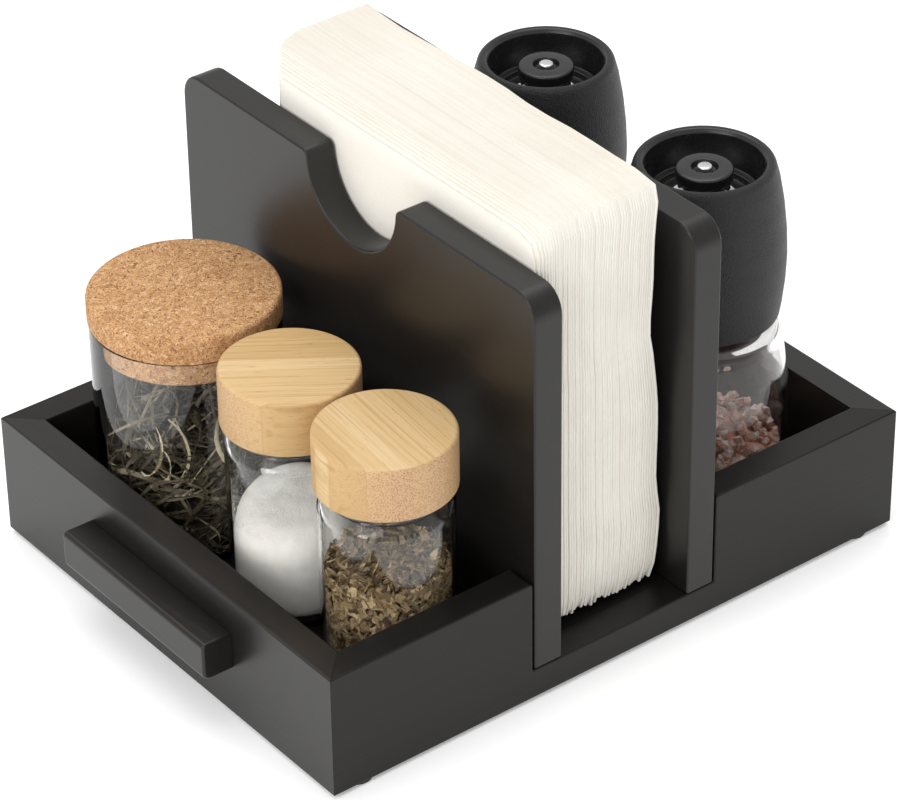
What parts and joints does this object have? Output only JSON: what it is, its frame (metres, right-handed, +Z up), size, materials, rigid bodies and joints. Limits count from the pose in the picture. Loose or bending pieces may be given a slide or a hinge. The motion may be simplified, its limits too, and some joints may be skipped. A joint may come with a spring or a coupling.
{
  "type": "napkin and condiment caddy",
  "caption": "Black wooden table caddy: two notched dividers hold folded napkins between trays with a corked jar, screw-lid spice jars and grinding mills; a handle on each end.",
  "frame": {"origin": "on the table, under the middle of the tray", "axes": "+X along the tray towards the mills, with a handle at each end; +Y across the tray to the far side; +Z up"},
  "size_m": [0.2782, 0.2, 0.1787],
  "materials": {
    "painted_wood": "satin black paint over fine straight-grained wood, edges softened",
    "foot_rubber": "small soft stick-on pad",
    "zinc": "zinc-plated countersunk screw",
    "beech": "raw beech, glued",
    "napkin_paper": "soft cream tissue, lightly embossed near its edges, folded and stacked",
    "clear_glass": "clear polished glass",
    "cork": "agglomerated cork, fine grains with dark flecks",
    "bamboo": "laminated bamboo strips, satin oil finish",
    "lid_liner": "moulded threaded liner",
    "lid_gasket": "translucent silicone disc",
    "tea": "long twisted dark green tea leaves with pale stems",
    "table_salt": "fine white salt",
    "herbs": "rubbed olive and brown dried herb flakes",
    "pink_salt": "coarse pink and amber salt crystals",
    "mill_black": "fine-textured black moulding, smooth rim",
    "mill_gloss_black": "glossy black moulding",
    "ceramic": "white grinding ceramic",
    "steel_pin": "turned steel pin end"
  },
  "bodies": {
    "caddy": {"floor_panel": "painted_wood", "side_board_near": "painted_wood", "side_board_far": "painted_wood", "end_board_left": "painted_wood", "end_board_right": "painted_wood", "divider_left": "painted_wood", "divider_right": "painted_wood", "handle_left": "painted_wood", "handle_right": "painted_wood", "foot_near_left": "foot_rubber", "foot_far_left": "foot_rubber", "foot_near_right": "foot_rubber", "foot_far_right": "foot_rubber", "handle_screw_left_1": "zinc", "handle_screw_left_2": "zinc", "handle_screw_right_1": "zinc", "handle_screw_right_2": "zinc", "divider_screw_left_1": "zinc", "divider_screw_left_2": "zinc", "divider_screw_right_1": "zinc", "divider_screw_right_2": "zinc", "corner_spline_near_left": "beech", "corner_spline_far_left": "beech", "corner_spline_near_right": "beech", "corner_spline_far_right": "beech"},
    "napkins": {"napkin_stack": "napkin_paper"},
    "cork_jar": {"cork_jar_glass": "clear_glass", "tea_leaves": "tea"},
    "cork": {"cork_stopper": "cork"},
    "salt_jar": {"salt_jar_glass": "clear_glass", "table_salt": "table_salt"},
    "salt_lid_seal": {"salt_lid_gasket": "lid_gasket"},
    "salt_lid": {"salt_lid_shell": "bamboo", "salt_lid_insert": "lid_liner"},
    "herb_jar": {"herb_jar_glass": "clear_glass", "dried_herbs": "herbs"},
    "herb_lid_seal": {"herb_lid_gasket": "lid_gasket"},
    "herb_lid": {"herb_lid_shell": "bamboo", "herb_lid_insert": "lid_liner"},
    "near_mill": {"near_mill_glass": "clear_glass", "near_mill_bridge": "mill_gloss_black", "near_mill_pin": "steel_pin", "near_mill_inner_burr": "ceramic", "near_mill_salt": "pink_salt"},
    "near_mill_head": {"near_mill_shell": "mill_black", "near_mill_outer_burr": "ceramic"},
    "near_mill_adjuster": {"near_mill_knob": "mill_gloss_black"},
    "far_mill": {"far_mill_glass": "clear_glass", "far_mill_bridge": "mill_gloss_black", "far_mill_pin": "steel_pin", "far_mill_inner_burr": "ceramic", "far_mill_salt": "pink_salt"},
    "far_mill_head": {"far_mill_shell": "mill_black", "far_mill_outer_burr": "ceramic"},
    "far_mill_adjuster": {"far_mill_knob": "mill_gloss_black"}
  },
  "joints": [
    {"name": "napkins_lift", "type": "slide", "parent": "caddy", "child": "napkins", "axis": [0, 0, 1], "range_m": [0, 0.155]},
    {"name": "cork_jar_lift", "type": "slide", "parent": "caddy", "child": "cork_jar", "axis": [0, 0, 1], "range_m": [0, 0.045]},
    {"name": "cork_pull", "type": "slide", "parent": "cork_jar", "child": "cork", "axis": [0, 0, 1], "range_m": [0, 0.025]},
    {"name": "salt_jar_lift", "type": "slide", "parent": "caddy", "child": "salt_jar", "axis": [0, 0, 1], "range_m": [0, 0.045]},
    {"name": "salt_lid_rise", "type": "slide", "parent": "salt_jar", "child": "salt_lid_seal", "axis": [0, 0, 1], "range_m": [0, 0.015]},
    {"name": "salt_lid_turn", "type": "hinge", "parent": "salt_lid_seal", "child": "salt_lid", "pos_m": [-0.0776, -0.0126, 0.1], "axis": [0, 0, 1], "range_deg": [0, 1080]},
    {"name": "herb_jar_lift", "type": "slide", "parent": "caddy", "child": "herb_jar", "axis": [0, 0, 1], "range_m": [0, 0.045]},
    {"name": "herb_lid_rise", "type": "slide", "parent": "herb_jar", "child": "herb_lid_seal", "axis": [0, 0, 1], "range_m": [0, 0.015]},
    {"name": "herb_lid_turn", "type": "hinge", "parent": "herb_lid_seal", "child": "herb_lid", "pos_m": [-0.0754, -0.0636, 0.1], "axis": [0, 0, 1], "range_deg": [0, 1080]},
    {"name": "near_mill_lift", "type": "slide", "parent": "caddy", "child": "near_mill", "axis": [0, 0, 1], "range_m": [0, 0.045]},
    {"name": "near_mill_turn", "type": "hinge", "parent": "near_mill", "child": "near_mill_head", "pos_m": [0.0761, -0.05, 0.11], "axis": [0, 0, 1], "continuous": true},
    {"name": "near_mill_adjust", "type": "hinge", "parent": "near_mill", "child": "near_mill_adjuster", "pos_m": [0.0761, -0.05, 0.145], "axis": [0, 0, 1], "range_deg": [0, 270]},
    {"name": "far_mill_lift", "type": "slide", "parent": "caddy", "child": "far_mill", "axis": [0, 0, 1], "range_m": [0, 0.045]},
    {"name": "far_mill_turn", "type": "hinge", "parent": "far_mill", "child": "far_mill_head", "pos_m": [0.0795, 0.042, 0.11], "axis": [0, 0, 1], "continuous": true},
    {"name": "far_mill_adjust", "type": "hinge", "parent": "far_mill", "child": "far_mill_adjuster", "pos_m": [0.0795, 0.042, 0.145], "axis": [0, 0, 1], "range_deg": [0, 270]}
  ],
  "couplings": [
    {"joint": "salt_lid_rise", "follows": "salt_lid_turn", "m_per_rad": 0.00079577},
    {"joint": "herb_lid_rise", "follows": "herb_lid_turn", "m_per_rad": 0.00079577}
  ]
}
